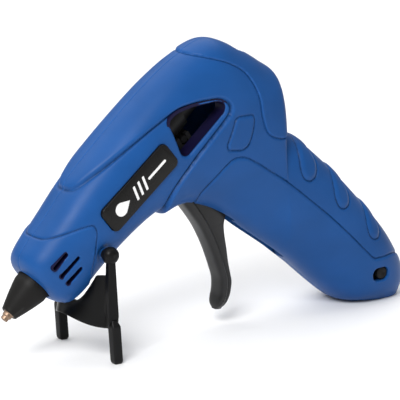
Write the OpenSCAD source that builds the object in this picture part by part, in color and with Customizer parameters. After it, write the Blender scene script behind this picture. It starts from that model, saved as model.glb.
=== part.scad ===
// Cordless hot glue gun, standing on its folding stand and the foot of its handle.
//
// Most of the gun is drawn in the gun frame and then tilted into place:
//   X runs back along the barrel from the nozzle tip, Y to the right of the
//   user, Z up from the barrel axis. The glue stick runs along X.
// The row frame has Z up and the ground at Z = 0.

/* [Pose] */
// Tilt of the barrel, nozzle down, when the gun stands
tilt = 41; // [40:0.5:42]
// Height of the nozzle tip above the ground
tip_z = 21.8; // [21:0.1:23]
// Distance of the nozzle tip ahead of the origin
tip_x = 106; // [100:0.1:115]

/* [Housing] */
// Wall thickness of the housing
wall = 2.2; // [1.8:0.1:2.6]
// Squareness of the cross-section, where 2 is an ellipse
squareness = 2.5; // [2.2:0.1:3]
// How far the rear cap stands proud of the halves
cap_proud = 0.7; // [0.3:0.1:1]
// Radius of the hole for the nozzle cover
nose_hole_r = 8.6; // [8.5:0.1:9]

/* [Glue path] */
// Bore that the glue stick slides in
stick_bore_r = 3.9; // [3.7:0.1:4]
// Outer radius of the stick guide
guide_r = 4.9; // [4.7:0.1:5.1]
// Outer radius of the melt chamber
chamber_r = 7.5; // [7:0.1:8]

/* [Trigger] */
// Swing of the trigger from rest to fully pulled
trigger_swing = 21.5; // [15:0.5:21.5]
// Distance from the trigger pin to the carriage peg at half stroke
fork_arm = 20; // [18:0.5:21]
// Width of the finger pad
pad_w = 10.4; // [9:0.2:11]
// Thickness of the web behind the pad
web_w = 7; // [6:0.5:7.5]

/* [Stand] */
// Inside width between the stand arms
stand_inner_w = 36.2; // [35.8:0.1:38]
// Thickness of a stand arm
arm_t = 3; // [2.5:0.1:3.5]
// Side of a square foot
foot_w = 4.5; // [4:0.1:5]

/* [Hidden] */

eps = 0.01;
blue = [0.14, 0.33, 0.66];
black = [0.12, 0.12, 0.13];
dark_plastic = [0.2, 0.2, 0.21];
steel = [0.7, 0.7, 0.72];

// Width of the housing over everything, for cuts that go right through
through = 60;
// Largest half width of the housing
half_w = 17.5;

// Where the ground plane crosses the gun frame at a given X
function ground(u) = -(tip_z + u * sin(tilt)) / cos(tilt);

// Housing stations from the nose to the foot of the handle: the outer point (top of the
// barrel, back of the handle), the inner point (belly, front of the handle), the half width
stations = [
    [20, 8.5, 20.5, -8.5, 8.5], [21, 12, 22, -11.5, 12], [24, 15, 26, -14.5, 14.5],
    [31, 16.6, 33, -16.4, 16], [45, 18.6, 46, -17.2, 16.8], [62, 21.4, 61, -18, 17.3],
    [82, 23, 77, -20.5, half_w], [103, 23.8, 88, -25.3, half_w], [121, 23, 95.5, -31.8, half_w],
    [137, 20, 100.5, -40, half_w], [151, 14.5, 103.5, -48, 17], [159, 1, 105.7, -56, 16.5],
    [163.7, -15, 107.5, -65, 16], [163.6, -28, 109.2, -74, 15.5], [156.8, -41, 110.9, -83, 15.2],
    [152.3, -48.5, 112.4, -91, 15.2], [154.7, -62, 113.9, -101, 15.5],
    [157, -82, 115.2, -111, 16], [158, -104, 116.4, -119, 16.5], [157.5, -126, 117.7, -126, 17],
    [154, -146.5, 119.5, -131.3, 16.3], [146.5, ground(146.5), 125, ground(125), 12.5]];

// Rear cap line on the side of the housing, top to bottom
cap_line = [[131, 30], [134.5, 23.5], [142, 14], [148, 4], [150.8, -6], [148.5, -17], [143, -25.5],
    [140.3, -33], [143, -40], [148, -43.8], [156, -46.5]];

window_outline = [[108, 10.3], [103.8, -4.5], [105, -8], [131, -8.2], [133.8, -5.8], [132, -2.5],
    [121, 6.3], [113.5, 10]];
// Depth of the wall that lines the window
window_inner_y = 8.2;

// Vents in the nose: start, end and height of each slot
vents = [[28, 35.8, 7], [28, 38.6, 1.6], [28.2, 36.4, -3]];
vent_r = 0.8;

// Screw bosses that hold the halves together
bosses = [[40, -12], [66, 16], [98, 17.5], [126, 14], [83.5, -16.5], [132, -38], [119.7, -104.5],
    [151, -128.5]];
boss_r = 3;
screw_r = 1.4;
head_r = 2.7;

badge_l = 42.6;
badge_h = 13;
badge_r = 2.8;
badge_at = [79.3, 1.3];
badge_tilt = -2;
badge_top_y = 17.6;
badge_t = 1.5;

trigger_at = [108, -27];
pin_r = 2;
pin_l = 26;
pin_bore_r = 2.05;
peg_r = 1.6;
peg_half_l = 7.2;
cheek_in = 4.6;
cheek_out = 6.8;
// The fork leans back by half the swing at rest, so that it is upright at half stroke
fork_lean = trigger_swing / 2;
peg_at = [trigger_at.x + fork_arm * tan(fork_lean), trigger_at.y + fork_arm];
boss_gap_y = 7.3;

// Front of the finger pad and the back of the web, top to bottom
pad_front = [[93.4, -22], [94, -30], [94.3, -38], [93.2, -47], [90.8, -55.5], [87, -64.3],
    [82.8, -72], [78.3, -77.3], [73.6, -80]];
web_back = [[114, -26], [113.5, -40], [110, -50], [104.6, -54.7], [101, -57.6], [97, -62.8],
    [92, -70], [87.2, -77], [83.6, -80.4], [79, -82.4], [75.2, -82.2]];
pad_t = 3.4;

stand_at = [49, -8];
stand_bore_r = 2.08;
stub_r = 2;
foot_y = 21.5;
foot_back = 1.4;
foot_h = 14;
arm_w = 4.2;
eye_r = 3.7;

slot_at = [138.7, -131];
slot_l = 9.4;
slot_h = 6.4;
knob_travel = 3.2;

cell_at = 135.5;
cell_r = 9.2;
cell_low = -118;
cell_l = 65;

// Notch over the melt chamber that the heater wires pass through
wire_gap = 11;
wire_notch_z = 8.8;

board_y = -3;
board_t = 1.6;
usb_at = 138;

carriage_l = 14;
carriage_front = peg_at.x - 7;
spring_front = 91.2;
jaw_at = [peg_at.x + 1, 8.6];
jaw_pin_r = 0.8;

// Melt chamber, from its nozzle end to its inlet end, and the rings that carry it
chamber_front = 23;
chamber_back = 73;
ring_places = [26, 66];
ring_r = 11.5;
ring_l = 4;
rib_t = 2.8;
flat_top = 8.6;

// Stick guide, from the thermal sleeve to the inlet bush
guide_front = 88;
guide_back = 143.5;
inlet_at = [144, 156.5];
inlet_hole_r = 5.6;

// USB port in the foot of the handle
usb_plug = [11.4, 6.4];
usb_low = -141;

// ---------- helpers ----------

// Places what is drawn in the gun frame into the row frame
module in_gun() {
    translate([-tip_x, 0, tip_z]) rotate([0, -tilt, 0]) children();
}

// A cylinder along X from one place to another
module along_x(from, to, r, fn = 64) {
    translate([from, 0, 0]) rotate([0, 90, 0]) cylinder(r = r, h = to - from, $fn = fn);
}

// A cylinder along Y, centred on Y = 0 or running between two Y values
module along_y(at, y0, y1, r, fn = 48) {
    translate([at.x, y0, at.y]) rotate([-90, 0, 0]) cylinder(r = r, h = y1 - y0, $fn = fn);
}

// Extrudes a drawing in the X-Z plane along Y
module side_extrude(y0, y1) {
    translate([0, y1, 0]) rotate([90, 0, 0]) linear_extrude(y1 - y0) children();
}

module rounded_rect(l, h, r) {
    square([l - 2 * r, h], center = true);
    square([l, h - 2 * r], center = true);
    for (x = [-1, 1], y = [-1, 1])
        translate([x * (l / 2 - r), y * (h / 2 - r)]) circle(r, $fn = 32);
}

// Point on a smooth curve through p, at t between point i and the next
function catmull(p, i, t) =
    let (n = len(p) - 1,
        a = i > 0 ? p[i - 1] : 2 * p[0] - p[1], b = p[i], c = p[i + 1],
        d = i + 2 <= n ? p[i + 2] : 2 * p[n] - p[n - 1])
    0.5 * (2 * b + (c - a) * t + (2 * a - 5 * b + 4 * c - d) * t * t
        + (3 * b - a - 3 * c + d) * t * t * t);

// Smooth curve through p with a number of steps between its points
function smooth(p, steps) = concat(
    [for (i = [0 : len(p) - 2], k = [0 : steps - 1]) catmull(p, i, k / steps)],
    [p[len(p) - 1]]);

function reversed(p) = [for (i = [len(p) - 1 : -1 : 0]) p[i]];

function spow(x, e) = sign(x) * pow(abs(x), e);

// One cross-section of the housing, pulled in by inset
function ring(s, inset, n) =
    let (o = [s[0], s[1]], i = [s[2], s[3]], mid = (o + i) / 2, half = (o - i) / 2,
        shrink = (norm(half) - inset) / norm(half), e = 2 / squareness)
    [for (j = [0 : n - 1]) let (c = spow(cos(j * 360 / n), e) * shrink, p = mid + half * c)
        [p.x, (s[4] - inset) * spow(sin(j * 360 / n), e), p.y]];

// Closed skin over a list of rings that all have the same number of points
module skin(rings) {
    n = len(rings[0]);
    m = len(rings);
    polyhedron([for (r = rings) each r], concat(
        [[for (j = [n - 1 : -1 : 0]) j]],
        [[for (j = [0 : n - 1]) (m - 1) * n + j]],
        [for (k = [0 : m - 2], j = [0 : n - 1])
            let (a = k * n + j, b = k * n + (j + 1) % n, c = b + n, d = a + n)
                each [[a, b, c], [a, c, d]]]));
}

// Housing form; the inner form is closed at the nose and at the foot by about the wall
module housing_form(inset) {
    steps = inset > 0 ? 2 : 3;
    sides = inset > 0 ? 24 : 32;
    s = smooth(stations, steps);
    first = inset > 0 ? steps + 1 : 0;
    last = len(s) - (inset > 0 ? 2 : 1);
    skin([for (k = [first : last]) ring(s[k], inset, sides)]);
}

// Everything behind the cap line
module cap_region() {
    side_extrude(-through / 2, through / 2)
        polygon(concat(smooth(cap_line, 4), [[190, -46.5], [190, 30]]));
}

module window_2d(grow = 0) {
    offset(r = 1.6 + grow, $fn = 24) offset(delta = -1.6) polygon(window_outline);
}

module badge_2d() {
    translate(badge_at) rotate(badge_tilt) rounded_rect(badge_l, badge_h, badge_r);
}

// Tube along a list of points, used for wires
module wire(path, r, steps = 4, sides = 6) {
    p = smooth(path, steps);
    skin([for (i = [0 : len(p) - 1])
        let (a = p[max(i - 1, 0)], b = p[min(i + 1, len(p) - 1)], t = (b - a) / norm(b - a),
            ref = abs(t.z) > 0.9 ? [1, 0, 0] : [0, 0, 1],
            s = cross(ref, t) / norm(cross(ref, t)), v = cross(t, s))
        [for (j = [0 : sides - 1]) p[i] - r * (cos(j * 360 / sides) * v + sin(j * 360 / sides) * s)]]);
}

// ---------- housing ----------

// Parts of the skin shared by both halves, drawn whole and cut in two afterwards
module hollow_housing() {
    difference() {
        union() {
            difference() {
                housing_form(0);
                housing_form(wall);
            }
            intersection() {
                housing_form(wall - 0.4);
                union() {
                    housing_ribs();
                    window_walls();
                    housing_bosses();
                }
            }
        }
        cap_region();
        along_x(10, 24.5, nose_hole_r, 40);
        along_x(22.3, 26, nose_hole_r + 1.3, 40);
        side_extrude(-through / 2, -window_inner_y + eps) window_2d();
        side_extrude(window_inner_y - eps, through / 2) window_2d();
        for (v = vents)
            hull() for (u = [v.x + vent_r, v.y - vent_r])
                along_y([u, v.z], -through / 2, through / 2, vent_r, 10);
        trigger_openings();
        along_y(stand_at, -through / 2, through / 2, stand_bore_r, 24);
        along_y(trigger_at, -pin_l / 2 - 0.2, pin_l / 2 + 0.2, pin_r + 0.1, 24);
        usb_opening();
        for (b = bosses) along_y(b, -9.5, through / 2, screw_r + 0.1, 12);
    }
}

// Plates that carry the chamber mounts, the guide and the cell
module housing_ribs() {
    for (u = ring_places + [0.6, 0.6])
        difference() {
            translate([u, -through / 2, -25]) cube([rib_t, through, 55]);
            along_x(u - 1, u + 4, ring_r + 0.1, 32);
            translate([u - 1, -wire_gap / 2, wire_notch_z]) cube([6, wire_gap, 4]);
        }
    difference() {
        translate([139, -through / 2, -18]) cube([2.5, through, 50]);
        along_x(138, 143, guide_r + 0.15, 24);
    }
    for (w = [-64, -108])
        difference() {
            translate([124, -through / 2, w]) cube([40, through, 2.2]);
            translate([cell_at, 0, w - 1]) cylinder(r = cell_r + 0.2, h = 5, $fn = 32);
            for (u = [cell_at - 13, cell_at + 7.6])
                translate([u, 8.4, w - 1]) cube([6, 3.4, 5]);
        }
}

module window_walls() {
    for (y = [[-through / 2, -window_inner_y], [window_inner_y, through / 2]])
        side_extrude(y[0], y[1]) window_2d(grow = 1.5);
}

module housing_bosses() {
    for (b = bosses)
        hull() {
            along_y(b, -through / 2, through / 2, boss_r, 14);
            along_y(b, -4, 4, boss_r - 0.2, 14);
        }
    for (y = [[-through / 2, -boss_gap_y], [boss_gap_y, through / 2]])
        along_y(trigger_at, y[0], y[1], 4.6, 24);
}

// Mouth for the trigger under the barrel and slot for its web down the handle
module trigger_openings() {
    hull() for (p = [[92, -22], [104, -22], [104.5, -52], [91, -40]])
        along_y(p, -pad_w / 2 - 0.7, pad_w / 2 + 0.7, 2, 12);
    hull() for (p = [[107, -50], [112, -90], [104, -50], [106, -90]])
        along_y(p, -web_w / 2 - 0.6, web_w / 2 + 0.6, 2.5, 12);
}

module usb_opening() {
    translate([usb_at, 0, -162]) linear_extrude(23) rounded_rect(usb_plug.x, usb_plug.y, 1.4);
}

module left_shell() {
    color(blue) in_gun() difference() {
        intersection() {
            hollow_housing();
            translate([0, -50, -170]) cube([200, 50, 220]);
        }
        side_extrude(-through / 2, -badge_top_y + badge_t) offset(delta = 0.15) badge_2d();
        translate([slot_at.x, 0, slot_at.y]) rotate([0, tilt, 0]) hull()
            for (x = [-1, 1])
                along_y([x * (slot_l - slot_h) / 2, 0], -through / 2, -10, slot_h / 2, 20);
    }
}

module right_shell() {
    color(blue) in_gun() difference() {
        intersection() {
            hollow_housing();
            translate([0, 0, -170]) cube([200, 50, 220]);
        }
        for (b = bosses) along_y(b, 9, through / 2, head_r + 0.3, 16);
    }
}

module rear_cap() {
    color(blue) in_gun() difference() {
        intersection() {
            difference() {
                housing_form(-cap_proud);
                housing_form(wall);
            }
            cap_region();
        }
        along_x(140, 175, inlet_hole_r, 32);
    }
}

module badge_plate() {
    color(black) in_gun()
        side_extrude(-badge_top_y, -badge_top_y + badge_t) badge_2d();
}

// ---------- nozzle and heater ----------

module nozzle_cover() {
    color(black) in_gun() rotate([0, 90, 0]) rotate_extrude($fn = 64)
        polygon(concat([[3.2, 3.4]],
            [for (a = [0 : 15 : 75]) [3.9 + 0.9 * sin(a), 4.3 - 0.9 * cos(a)]],
            [[8.4, 19], [8.4, 22.4], [9.6, 22.4], [9.6, 24], [7.9, 24], [7.9, 22.8], [6.4, 22.8],
                [6.3, 16]]));
}

module nozzle_tip() {
    color([0.72, 0.52, 0.3]) in_gun() rotate([0, 90, 0]) rotate_extrude($fn = 48)
        polygon([[0.9, 0], [2, 0], [2.4, 0.4], [2.4, 3], [3, 3.4], [6.1, 16], [6.1, 22.5],
            [3, 22.5], [3, 30], [1.5, 30], [1.5, 6], [0.9, 4]]);
}

module melt_chamber() {
    color([0.75, 0.75, 0.77]) in_gun() difference() {
        union() {
            along_x(chamber_front, chamber_back, chamber_r);
            translate([36, -5, 0]) cube([24, 10, flat_top]);
        }
        along_x(chamber_front - 1, 31, 3.1);
        along_x(30, chamber_back + 1, stick_bore_r);
    }
}

module ptc_heater() {
    color([0.9, 0.88, 0.82]) in_gun() translate([38, -4.5, flat_top]) cube([20, 9, 3]);
}

module heater_clip() {
    color([0.6, 0.6, 0.62]) in_gun() translate([43, 0, 0]) difference() {
        translate([0, -9, -9]) cube([10, 18, 21.4]);
        translate([-1, -8.4, -8.4]) cube([12, 16.8, 20]);
        translate([-1, -5, -10]) cube([12, 10, 4]);
    }
}

module mount_ring(u) {
    color([0.3, 0.3, 0.3]) in_gun() difference() {
        along_x(u, u + ring_l, ring_r);
        along_x(u - 1, u + ring_l + 1, chamber_r + 0.02);
        translate([u - 1, -wire_gap / 2, wire_notch_z]) cube([6, wire_gap, 6]);
    }
}

module front_mount_ring() { mount_ring(ring_places[0]); }
module rear_mount_ring() { mount_ring(ring_places[1]); }

module thermal_sleeve() {
    color([0.75, 0.35, 0.25]) in_gun() difference() {
        union() {
            along_x(chamber_back, 84, 6.4);
            along_x(84, 87.5, 7.4);
        }
        along_x(chamber_back - 1, 89, stick_bore_r);
    }
}

// ---------- feed ----------

module stick_guide() {
    color(dark_plastic) in_gun() difference() {
        union() {
            along_x(guide_front, guide_back, guide_r);
            along_x(guide_front, guide_front + 2.8, 7.2);
        }
        along_x(guide_front - 1, guide_back + 1, stick_bore_r);
        translate([93, -2.4, 2]) cube([24.5, 4.8, 6]);
    }
}

module inlet_bush() {
    color(dark_plastic) in_gun() difference() {
        along_x(inlet_at[0], inlet_at[1], inlet_hole_r - 0.2);
        along_x(inlet_at[0] - 1, inlet_at[1] + 1.5, stick_bore_r);
    }
}

module feed_carriage() {
    color(dark_plastic) in_gun() {
        difference() {
            union() {
                along_x(carriage_front, carriage_front + carriage_l, 6.2);
                translate([peg_at.x - 4, -3.4, peg_at.y - 3]) cube([8, 6.8, 5]);
                for (y = [-4.5, 2.5])
                    translate([jaw_at.x - 3, y, 4]) cube([6, 2, jaw_at.y - 1]);
            }
            along_x(carriage_front - 1, carriage_front + carriage_l + 1, guide_r + 0.06);
            translate([carriage_front - 1, -2.5, 2]) cube([carriage_l + 2, 5, 12]);
            along_y(jaw_at, -6, 6, jaw_pin_r + 0.05);
        }
        along_y(peg_at, -peg_half_l, -3.4, peg_r);
        along_y(peg_at, 3.4, peg_half_l, peg_r);
    }
}

// Toothed jaw that swings down on the stick as the trigger is pulled
module clamp_jaw() {
    color([0.62, 0.62, 0.65]) in_gun() difference() {
        union() {
            side_extrude(-2, 2) translate(jaw_at)
                polygon([[-1.6, 1.8], [-6, -1.2], [-7, -4.1], [-5.6, -3.4], [-4.6, -4],
                    [-3.4, -3.2], [0, -2.4]]);
            along_y(jaw_at, -2, 2, 2.4);
        }
        along_y(jaw_at, -3, 3, jaw_pin_r + 0.05);
    }
}

module jaw_pin() {
    color(steel) in_gun() along_y(jaw_at, -5, 5, jaw_pin_r);
}

// Compression spring round the guide, ahead of the carriage
module return_spring() {
    turns = 5;
    steps = 14;
    wire_r = 0.42;
    length = carriage_front - spring_front - 2 * wire_r - 0.2;
    color(steel) in_gun()
        wire([for (i = [0 : turns * steps]) [spring_front + wire_r + 0.1 + length * i / (turns * steps),
            5.9 * cos(i * 360 / steps), 5.9 * sin(i * 360 / steps)]], wire_r, 1);
}

module trigger() {
    front = smooth(pad_front, 5);
    inner = [for (i = [0 : len(front) - 1])
        let (a = front[max(i - 1, 0)], b = front[min(i + 1, len(front) - 1)],
            t = (b - a) / norm(b - a))
        front[i] + pad_t * [-t.y, t.x]];
    color(black) in_gun() difference() {
        union() {
            side_extrude(-pad_w / 2, pad_w / 2) polygon(concat(front, reversed(inner)));
            side_extrude(-web_w / 2, web_w / 2)
                polygon(concat(inner, reversed(smooth(web_back, 5))));
            along_y(trigger_at, -cheek_out, cheek_out, 5);
            for (y = [-cheek_out, cheek_in]) fork_cheek(y);
        }
        along_y(trigger_at, -8, 8, pin_bore_r);
    }
}

// One side of the fork that drives the carriage peg
module fork_cheek(y) {
    cheek_w = 7.6;
    slot_w = 2 * peg_r + 0.4;
    translate([trigger_at.x, y, trigger_at.y]) rotate([0, fork_lean, 0]) difference() {
        translate([-cheek_w / 2, 0, 0]) cube([cheek_w, cheek_out - cheek_in, fork_arm + 2.2]);
        translate([-slot_w / 2, -1, fork_arm - 2.2]) cube([slot_w, 5, 8]);
    }
}

module trigger_pin() {
    color(steel) in_gun() along_y(trigger_at, -pin_l / 2, pin_l / 2, pin_r);
}

// ---------- battery and electronics ----------

module battery_cell() {
    color([0.2, 0.45, 0.35]) in_gun() translate([cell_at, 0, cell_low])
        cylinder(r = cell_r, h = cell_l, $fn = 64);
}

module battery_contacts() {
    color([0.8, 0.78, 0.7]) in_gun() for (w = [cell_low - 0.7, cell_low + cell_l + 0.1])
        translate([cell_at - 7, -4, w]) cube([14, 8, 0.6]);
}

module control_board() {
    color([0.1, 0.4, 0.2]) in_gun() {
        translate([130, board_y, -137]) cube([17, board_t, 16.5]);
        translate([131.5, board_y + board_t, -131]) cube([5, 1.2, 5]);
        translate([139.5, board_y + board_t, -131]) cube([4, 2, 5]);
    }
}

module switch_body() {
    color([0.3, 0.3, 0.32]) in_gun() translate([slot_at.x, 0, slot_at.y]) rotate([0, tilt, 0])
        difference() {
            translate([-7, -12.4, -4]) cube([14, 12.4 + board_y, 8]);
            translate([-knob_travel / 2 - 2.4, -13, -1.6]) cube([knob_travel + 4.8, 3.6, 3.2]);
        }
}

module switch_knob() {
    rest = knob_travel / 2;
    color(black) in_gun() translate([slot_at.x, 0, slot_at.y]) rotate([0, tilt, 0]) {
        along_y([rest, 0], -16.2, -13, 2.9);
        translate([rest - 1.9, -13, -1.4]) cube([3.8, 3, 2.8]);
    }
}

module usb_socket() {
    color(steel) in_gun() translate([usb_at, 0, usb_low]) difference() {
        translate([-4.5, board_y + board_t, 0]) cube([9, 3.2, 7]);
        translate([-4, board_y + board_t + 0.4, -1]) cube([8, 2.4, 6.5]);
    }
}

module heater_wires() {
    color([0.6, 0.1, 0.1]) in_gun() for (side = [0, 2])
        wire([[133.5, -0.6, -122.5 - side], [130, 4, -122.5 - side], [126.5 - side, 9.6, -116 - side],
            [126 - side, 10, -100], [126 - side, 10, -62], [124 - side, 10.6, -44],
            [116 - side, 11, -20 - side / 2], [106 - side / 2, 11, -13 - side], [92, 11, -8.5 - side],
            [79 - side / 2, 9.6, 3 - side], [71, 4.6 - side, 10.8], [65, 3.4 - side, 10.8],
            [58.8, 2.2 - side, 10.4]], 0.7, 3, 6);
}

module battery_wires() {
    color([0.1, 0.1, 0.1]) in_gun() {
        wire([[cell_at - 1, 4.8, -119.4], [cell_at - 1, 6.6, -120.6], [cell_at - 1, 4, -122],
            [cell_at - 1, -0.5, -123]], 0.7, 3, 6);
        wire([[cell_at + 2, 4.6, -51.8], [cell_at + 6, 9, -50.6], [cell_at + 9, 9.6, -58],
            [cell_at + 9, 9.6, -108], [cell_at + 8.6, 9, -119.4], [cell_at + 6, 2, -122],
            [cell_at + 6, -0.6, -122.6]], 0.7, 3, 6);
    }
}

// ---------- stand ----------

// Sheet between the legs that hugs the belly of the barrel when the stand is folded.
// Its edges are drawn in the stand's own frame, pivot at the origin and legs down.
function apron_top(t) = [-0.6 - 6.4 * (1 - t * t), 18.6 * t, min(-23.2 + 28 * t * t, -9.2)];
function apron_low(t) = [-0.9 - 12 * (1 - t * t), 18.6 * t, max(-28.2 - 8 * t * t, -32.6)];
module apron() {
    steps = 24;
    thick = 1.8;
    skin([for (i = [0 : steps]) let (t = -1 + 2 * i / steps, a = apron_top(t), b = apron_low(t))
        [b, b + [thick, 0, 0], a + [thick, 0, 0], a]]);
}

module stand_arm(side) {
    y0 = stand_inner_w / 2;
    leg = norm([foot_back, tip_z + stand_at.x * sin(tilt) + stand_at.y * cos(tilt)]);
    mirror([0, side < 0 ? 1 : 0, 0]) {
        along_y([0, 0], y0, y0 + arm_t, eye_r);
        along_y([0, 0], y0 - 3.6, y0 + 0.1, stub_r);
        along_y([0, 0], y0, y0 + arm_t + 0.8, 2.6);
        rotate([0, -asin(foot_back / leg), 0]) translate([-arm_w / 2, y0 + 0.2, foot_h - 2 - leg])
            cube([arm_w, arm_t - 0.4, leg - foot_h + 1]);
        translate([foot_back - foot_w / 2, foot_y - foot_w / 2, -stand_height()])
            cube([foot_w, foot_w, foot_h]);
    }
}

function stand_height() = tip_z + stand_at.x * sin(tilt) + stand_at.y * cos(tilt);

module stand_yoke() {
    color(black) translate([-tip_x + stand_at.x * cos(tilt) - stand_at.y * sin(tilt), 0, stand_height()]) {
        for (side = [-1, 1]) stand_arm(side);
        apron();
    }
}

module housing_screws() {
    color([0.65, 0.65, 0.67]) in_gun() for (b = bosses) {
        along_y(b, -9, 9.1, screw_r, 24);
        along_y(b, 9.1, 11, head_r, 24);
    }
}

left_shell();
right_shell();
rear_cap();
badge_plate();
nozzle_cover();
nozzle_tip();
melt_chamber();
ptc_heater();
heater_clip();
front_mount_ring();
rear_mount_ring();
thermal_sleeve();
stick_guide();
inlet_bush();
feed_carriage();
clamp_jaw();
jaw_pin();
return_spring();
trigger();
trigger_pin();
battery_cell();
battery_contacts();
control_board();
switch_body();
switch_knob();
usb_socket();
heater_wires();
battery_wires();
stand_yoke();
housing_screws();
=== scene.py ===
import math

import bmesh
import bpy
import numpy as np
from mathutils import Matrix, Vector


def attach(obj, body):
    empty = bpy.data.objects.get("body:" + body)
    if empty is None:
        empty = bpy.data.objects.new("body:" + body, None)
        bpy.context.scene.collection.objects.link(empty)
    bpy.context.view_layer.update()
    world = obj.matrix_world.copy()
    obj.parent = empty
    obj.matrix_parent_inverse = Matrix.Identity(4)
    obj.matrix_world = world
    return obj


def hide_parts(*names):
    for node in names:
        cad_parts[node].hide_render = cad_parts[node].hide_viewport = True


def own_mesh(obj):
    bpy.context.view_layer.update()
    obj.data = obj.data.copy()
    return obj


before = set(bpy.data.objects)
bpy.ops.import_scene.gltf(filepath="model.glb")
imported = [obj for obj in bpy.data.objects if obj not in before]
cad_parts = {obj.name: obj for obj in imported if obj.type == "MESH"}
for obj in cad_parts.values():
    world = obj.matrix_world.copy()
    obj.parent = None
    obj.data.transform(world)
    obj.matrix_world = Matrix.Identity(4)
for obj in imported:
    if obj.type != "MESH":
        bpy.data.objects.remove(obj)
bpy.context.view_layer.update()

MM = 0.001
# added to a divisor that may be nought
TINY = 1e-12

# The gun frame: u runs back along the barrel from the nozzle tip, y to the right,
# w up from the barrel axis. The row frame has the ground at z = 0.
TILT = math.radians(41)
TIP_X, TIP_Z = -106.0, 21.8
COS_T, SIN_T = math.cos(TILT), math.sin(TILT)


def to_row(p):
    """Points in the gun frame in mm, as points in the row frame in metres."""
    p = np.asarray(p, float)
    out = np.empty_like(p)
    out[..., 0] = (TIP_X + p[..., 0] * COS_T - p[..., 2] * SIN_T) * MM
    out[..., 1] = p[..., 1] * MM
    out[..., 2] = (TIP_Z + p[..., 0] * SIN_T + p[..., 2] * COS_T) * MM
    return out


def ground(u):
    """w of the ground plane at u."""
    return -(TIP_Z + u * SIN_T) / COS_T


# ---------------------------------------------------------------- small curves

CORNER_STEPS = 8


def catmull(points, steps):
    """Smooth open curve through the points."""
    p = np.asarray(points, float)
    p = np.vstack([2 * p[0] - p[1], p, 2 * p[-1] - p[-2]])
    t = np.arange(steps)[:, None] / steps
    out = []
    for a, b, c, d in zip(p, p[1:], p[2:], p[3:]):
        out.append(0.5 * (2 * b + (c - a) * t + (2 * a - 5 * b + 4 * c - d) * t * t
                          + (3 * b - a - 3 * c + d) * t ** 3))
    return np.vstack(out + [p[-2:-1]])


def rounded(points, r, steps=6):
    """Closed outline with its corners rounded by arcs of about radius r."""
    p = np.asarray(points, float)
    out = []
    for a, b, c in zip(np.roll(p, 1, 0), p, np.roll(p, -1, 0)):
        ab, cb = a - b, c - b
        la, lc = np.linalg.norm(ab), np.linalg.norm(cb)
        cut = min(r, 0.45 * la, 0.45 * lc)
        s, e = b + ab / la * cut, b + cb / lc * cut
        for k in range(steps + 1):
            t = k / steps
            out.append((1 - t) ** 2 * s + 2 * t * (1 - t) * b + t * t * e)
    return np.array(out)


def turned(points, degrees):
    """Plane points turned about the origin."""
    a = math.radians(degrees)
    return np.asarray(points) @ np.array([[math.cos(a), math.sin(a)],
                                          [-math.sin(a), math.cos(a)]])


def circle(steps):
    """Angles of a full turn, without the last one."""
    return np.linspace(0, 2 * math.pi, steps, endpoint=False)


def rect(length, height, r, at=(0, 0), turn=0.0):
    """Closed outline of a rectangle with round corners, turned by degrees."""
    half = np.array([[-1, -1], [1, -1], [1, 1], [-1, 1]]) * (length / 2 - r, height / 2 - r)
    out = []
    for k, c in enumerate(half):
        for j in range(CORNER_STEPS + 1):
            a = math.radians(180 + 90 * k + 90 * j / CORNER_STEPS)
            out.append(c + (r * math.cos(a), r * math.sin(a)))
    return turned(out, turn) + at


def signed(points, outline):
    """Distance from each point to a closed outline, negative inside."""
    q = np.roll(outline, -1, 0)
    best = np.full(len(points), np.inf)
    inside = np.zeros(len(points), bool)
    for a, b in zip(outline, q):
        ab = b - a
        if not ab.any():
            continue
        rel = points - a
        t = np.clip(rel @ ab / (ab @ ab), 0, 1)
        near = rel - t[:, None] * ab
        best = np.minimum(best, (near * near).sum(1))
        crosses = (a[1] > points[:, 1]) != (b[1] > points[:, 1])
        if crosses.any():
            at = a[0] + (points[:, 1] - a[1]) / (b[1] - a[1] + TINY) * ab[0]
            inside ^= crosses & (points[:, 0] < at)
    return np.where(inside, -1, 1) * np.sqrt(best)


# ---------------------------------------------------------------- housing form

# Stations from the nose to the foot of the handle, as in the CAD: outer point, inner
# point, half width
STATIONS = np.array([
    [20, 8.5, 20, -8.9, 8.5], [21, 12, 21.7, -13, 12], [24, 15, 25, -16.5, 14.5],
    [31, 16.6, 32, -17.8, 16], [45, 18.6, 46, -17.4, 16.8], [62, 21.2, 61, -18, 17.3],
    [82, 22.1, 77, -20.5, 17.5], [103, 22.3, 88, -25.3, 17.5], [121, 21.5, 95.5, -31.8, 17.5],
    [136.6, 19, 100.5, -40, 17.5], [150.3, 13.6, 103.5, -48, 17], [157.3, 0.4, 105.7, -56, 16.5],
    [161.6, -13, 107.5, -65, 16], [163.2, -24, 109.6, -74, 15.5],
    [152.8, -34.4, 111.8, -83, 15.2], [145.8, -41, 113, -89, 15.2],
    [150.6, -49.3, 114, -94.8, 15.3],
    [153.6, -60, 115, -100.7, 15.5], [156.2, -82, 116.3, -110.6, 16],
    [157.2, -104, 117.5, -118.5, 16.5], [156.8, -126, 118.8, -125.5, 17],
    [152.2, -144.8, 120.6, -130.9, 15.4], [142.8, ground(142.8), 127.5, ground(127.5), 10.5]])
# exponent of the superellipse that each cross-section is, 2 for an ellipse
SQUARENESS = 2.5
WALL = 2.2
SMOOTHING_PASSES = 14
# a typical cross-section, to space the points round it
TYPICAL_HALF_HEIGHT, TYPICAL_HALF_WIDTH = 24, 17
# share of the outer and inner lines' joint step that counts as the way along the path
PATH_SHARE = 0.6
# reach of the differences that give a normal
NORMAL_SPAN = 0.35


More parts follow.
